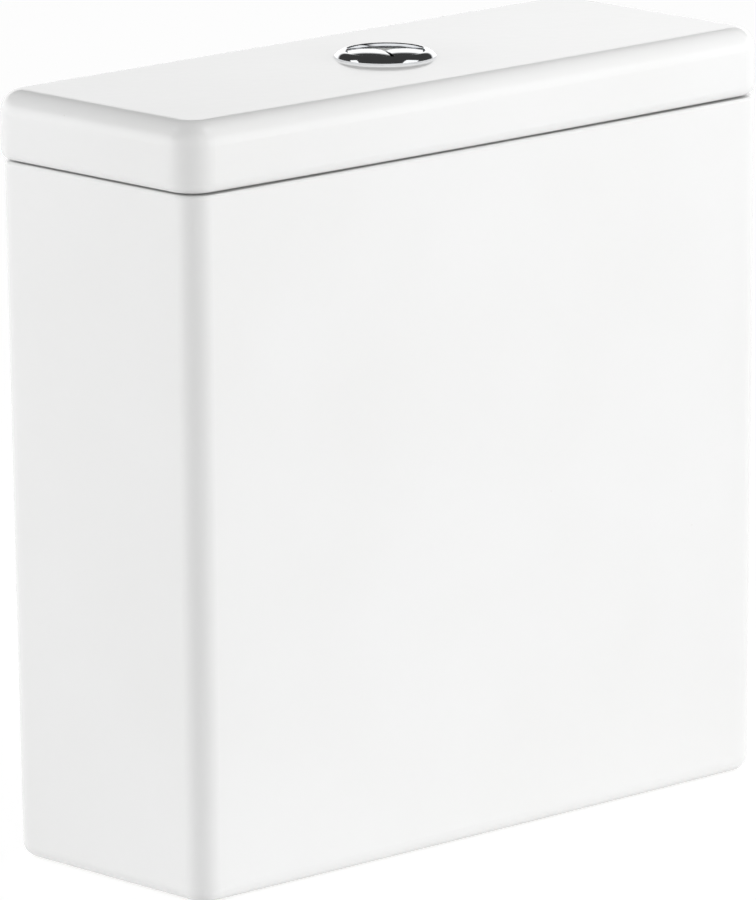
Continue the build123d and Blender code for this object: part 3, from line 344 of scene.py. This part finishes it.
def chrome_material():
    """Bright chrome plate over plastic, with a faint waviness and fine wiping marks."""
    material, tree, shader, place = new_material("chrome_plate", Metallic=1.0)
    drift = tree.ranged(tree.noise(place, scale=120.0, detail=2.0), NOISE_CORE)
    tree.link(tree.mix(drift, *CHROME_TONES), shader.inputs["Base Color"])
    wipes = tree.noise(tree.stretched(place, WIPE_STRETCH, WIPE_TURN), scale=500.0, detail=5.0)
    tree.link(tree.ranged(wipes, WIPE_CORE, CHROME_ROUGHNESS), shader.inputs["Roughness"])
    waves = tree.noise(place, scale=260.0, detail=1.0)
    tree.link(tree.bump(waves, CHROME_WAVE_DEPTH), shader.inputs["Normal"])
    return material


def plastic_material(name, tones, roughness, grain_depth=PLASTIC_GRAIN_DEPTH, **uniform):
    """Moulded plastic: slight colour drift, satin patches and a fine moulded grain."""
    material, tree, shader, place = new_material(name, **uniform)
    drift = tree.ranged(tree.noise(place, scale=70.0, detail=3.0), NOISE_CORE)
    tree.link(tree.mix(drift, *tones), shader.inputs["Base Color"])
    patches = tree.noise(place, scale=240.0, detail=3.0)
    tree.link(tree.ranged(patches, NOISE_CORE, roughness), shader.inputs["Roughness"])
    grain = tree.noise(place, scale=2600.0, detail=2.0)
    tree.link(tree.bump(grain, grain_depth), shader.inputs["Normal"])
    return material


def metal_material(name, tones, roughness):
    """Bare metal: slight colour drift and fine marks drawn out one way."""
    material, tree, shader, place = new_material(name, Metallic=1.0)
    drift = tree.ranged(tree.noise(place, scale=400.0, detail=4.0), NOISE_CORE)
    tree.link(tree.mix(drift, *tones), shader.inputs["Base Color"])
    drawn = tree.noise(tree.stretched(place, DRAWN_STRETCH), scale=1800.0, detail=3.0)
    tree.link(tree.ranged(drawn, NOISE_CORE, roughness), shader.inputs["Roughness"])
    tree.link(tree.bump(drawn, DRAWN_DEPTH), shader.inputs["Normal"])
    return material


def slot_materials():
    """One material for each material slot of the record."""
    made = {"glazed_ceramic": glaze_material(), "chrome": chrome_material()}
    for slot, finish in PLASTICS.items():
        made[slot] = plastic_material(**finish)
    for slot, finish in METALS.items():
        made[slot] = metal_material(**finish)
    return made


def paint_nodes():
    """Every CAD node gets the material of its slot."""
    for node_name, slot_name in slot_of.items():
        for slot in nodes[node_name].material_slots:
            slot.material = materials[slot_name]


def barrel_spans(form, centre, radius):
    """Takes the plain barrel's faces out of the form and gives the heights that they spanned."""
    barrel = []
    spans = set()
    for face in form.faces:
        reach = [math.hypot(v.co.x - centre[0], v.co.y - centre[1]) for v in face.verts]
        heights = [v.co.z for v in face.verts]
        at_radius = max(abs(r - radius) for r in reach) < RADIUS_MATCH
        if at_radius and max(heights) - min(heights) > SHORTEST_BARREL:
            barrel.append(face)
            spans.add((round(min(heights), LEVEL_DIGITS), round(max(heights), LEVEL_DIGITS)))
    bmesh.ops.delete(form, geom=barrel, context="FACES")
    return sorted(spans)


def open_ring(form, centre, level):
    """The open edge's corners at one height, in order round the centre."""
    ring = [v for v in form.verts if abs(v.co.z - level) < LEVEL_MATCH
            and any(len(e.link_faces) == 1 for e in v.link_edges)]
    ring.sort(key=lambda v: (math.atan2(v.co.y - centre[1], v.co.x - centre[0]) + SEAM_OFFSET) % math.tau)
    return ring


def thread_ring(form, plain, centre, height, pitch, depth):
    """New corners at one height: the plain ring's, drawn in where the helical groove passes."""
    ring = []
    for vert in plain:
        outward = Vector((vert.co.x - centre[0], vert.co.y - centre[1], 0.0))
        turn = math.atan2(outward.y, outward.x) / math.tau
        root = depth * (1 + math.cos(math.tau * (height / pitch - turn))) / 2
        ring.append(form.verts.new(Vector((*centre, height)) + outward * (1 - root / outward.length)))
    return ring


def cut_thread(form, centre, span, pitch, depth):
    """Fills the gap between two rings with a rounded helical thread that runs out at both ends."""
    low, high = span
    bottom = open_ring(form, centre, low)
    top = open_ring(form, centre, high)
    rows = round((high - low) / pitch * ROWS_PER_TURN)
    run_out = pitch * RUN_OUT_TURNS
    rings = [bottom]
    for row in range(1, rows):
        height = low + (high - low) * row / rows
        fade = min(1.0, (height - low) / run_out, (high - height) / run_out)
        rings.append(thread_ring(form, bottom, centre, height, pitch, depth * fade))
    rings.append(top)
    for lower, upper in zip(rings, rings[1:]):
        for i in range(len(bottom)):
            j = (i + 1) % len(bottom)
            form.faces.new((lower[i], lower[j], upper[j], upper[i]))


def stand_in(node_name, suffix, mesh):
    """Puts a new piece in a CAD node's place, on its body and with its finish."""
    piece = bpy.data.objects.new(node_name + suffix, mesh)
    bpy.context.scene.collection.objects.link(piece)
    mesh.materials.clear()
    mesh.materials.append(materials[slot_of[node_name]])
    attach(piece, body_of[node_name])
    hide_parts(node_name)
    return piece


def add_thread(node_name, radius, pitch, depth):
    """Stands a copy of a CAD node with a real thread on its plain barrel in the node's place."""
    low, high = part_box(node_name)
    centre = ((low[0] + high[0]) / 2, (low[1] + high[1]) / 2)
    form = bmesh.new()
    form.from_mesh(nodes[node_name].data)
    bmesh.ops.remove_doubles(form, verts=form.verts[:], dist=WELD)
    for span in barrel_spans(form, centre, radius):
        cut_thread(form, centre, span, pitch, depth)
    bmesh.ops.recalc_face_normals(form, faces=form.faces[:])
    for face in form.faces:
        face.smooth = True
    mesh = bpy.data.meshes.new(node_name + "_threaded")
    form.to_mesh(mesh)
    form.free()
    mesh.set_sharp_from_angle(angle=SHARP_ANGLE)
    stand_in(node_name, "_threaded", mesh)


def add_spring(node_name):
    """Stands a copy of a return spring in its place, with a mesh of its own."""
    piece = stand_in(node_name, "_coil", nodes[node_name].data.copy())
    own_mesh(piece)


def grey(level):
    """A colour whose three parts are all at one level."""
    return level, level, level


def patch_mask(tree, direction, middle, halves):
    """1 where a four-sided patch about the middle direction shows in the gloss, and 0 elsewhere."""
    level = Vector((0.0, 0.0, 1.0)).cross(middle).normalized()
    mask = tree.ranged(tree.along(direction, middle), PATCH_FRONT)
    for axis, half in zip((level, middle.cross(level).normalized()), halves):
        off = tree.math("ABSOLUTE", tree.along(direction, axis))
        mask = tree.math("MULTIPLY", mask, tree.ranged(off, (half * PATCH_EDGE, half), FALL))
    return mask


def gloss_colour(tree, direction):
    """White horizon, floor and room side under a dark ceiling with bright patches."""
    ceiling = tree.ranged(tree.upward(direction), CEILING_START, smooth=True)
    far_side = tree.ranged(tree.along(direction, ROOM_SIDE), ROOM_SIDE_START, FALL, smooth=True)
    dark = tree.math("MULTIPLY", ceiling, far_side)
    gloss = tree.mix(dark, grey(GLOSS_BRIGHT), grey(GLOSS_DARK))
    for middle, halves in PATCHES.items():
        gloss = tree.mix(patch_mask(tree, direction, Vector(middle), halves), gloss, grey(GLOSS_PATCH))
    return gloss


def make_world():
    """White to the camera and through clear plastic, and a studio to gloss and matt surfaces."""
    world = bpy.data.worlds.new("studio")
    bpy.context.scene.world = world
    world.use_nodes = True
    tree = Nodes(world.node_tree)
    path = tree.add("ShaderNodeLightPath")
    direction = tree.add("ShaderNodeTexCoord").outputs["Generated"]
    overhead = tree.ranged(tree.upward(direction), AMBIENT_SPAN)
    sky = tree.mix(overhead, grey(AMBIENT_LOW), grey(AMBIENT_HIGH))
    seen = tree.mix(path.outputs["Is Glossy Ray"], sky, gloss_colour(tree, direction))
    show = tree.math("MAXIMUM", path.outputs["Is Camera Ray"], path.outputs["Is Transmission Ray"])
    background = tree.add("ShaderNodeBackground")
    tree.link(tree.mix(show, seen, grey(1.0)), background.inputs["Color"])
    output = tree.add("ShaderNodeOutputWorld")
    tree.link(background.outputs["Background"], output.inputs["Surface"])


def make_lamp(name, place, size, watts):
    """Rectangular lamp that faces the cistern. The gloss sees the world in its stead."""
    data = bpy.data.lights.new(name, "AREA")
    data.shape = "RECTANGLE"
    data.size, data.size_y = size
    data.energy = watts
    lamp = bpy.data.objects.new(name, data)
    lamp.location = place
    lamp.rotation_mode = "QUATERNION"
    lamp.rotation_quaternion = (LAMP_AIM - Vector(place)).to_track_quat("-Z", "Y")
    lamp.visible_glossy = False
    lamp.visible_camera = False
    bpy.context.scene.collection.objects.link(lamp)


def floor_material():
    """Plain grey to the light, and near white with the object's shadow to the camera."""
    material = bpy.data.materials.new("pale_floor")
    material.use_nodes = True
    tree = Nodes(material.node_tree)
    path = tree.add("ShaderNodeLightPath")
    seen = tree.math("MAXIMUM", path.outputs["Is Camera Ray"], path.outputs["Is Glossy Ray"])
    seen = tree.math("MAXIMUM", seen, path.outputs["Is Transmission Ray"])
    plain = tree.add("ShaderNodeBsdfDiffuse")
    plain.inputs["Color"].default_value = (*grey(FLOOR_GREY), 1.0)
    shown = tree.add("ShaderNodeBsdfDiffuse")
    shown.inputs["Color"].default_value = (*grey(FLOOR_SEEN_GREY), 1.0)
    glow = tree.add("ShaderNodeEmission")
    glow.inputs["Strength"].default_value = FLOOR_GLOW
    both = tree.add("ShaderNodeAddShader")
    tree.link(shown.outputs["BSDF"], both.inputs[0])
    tree.link(glow.outputs["Emission"], both.inputs[1])
    choice = tree.add("ShaderNodeMixShader")
    tree.link(seen, choice.inputs["Fac"])
    tree.link(plain.outputs["BSDF"], choice.inputs[1])
    tree.link(both.outputs["Shader"], choice.inputs[2])
    output = tree.add("ShaderNodeOutputMaterial")
    tree.link(choice.outputs["Shader"], output.inputs["Surface"])
    return material


def make_floor():
    """Round floor, a hair under the cistern's foot."""
    mesh = bpy.data.meshes.new("floor")
    form = bmesh.new()
    bmesh.ops.create_circle(form, cap_ends=True, segments=FLOOR_SIDES, radius=FLOOR_RADIUS)
    form.to_mesh(mesh)
    form.free()
    mesh.materials.append(floor_material())
    floor = bpy.data.objects.new("floor", mesh)
    floor.location.z = -FLOOR_DROP
    bpy.context.scene.collection.objects.link(floor)


make_camera()
materials = slot_materials()
paint_nodes()
for thread in THREADS:
    add_thread(*thread)
for spring, press in SPRINGS.items():
    add_spring(spring)
make_world()
for lamp_name, settings in LAMPS.items():
    make_lamp(lamp_name, *settings)
make_floor()
bpy.context.scene.view_settings.view_transform = "Standard"
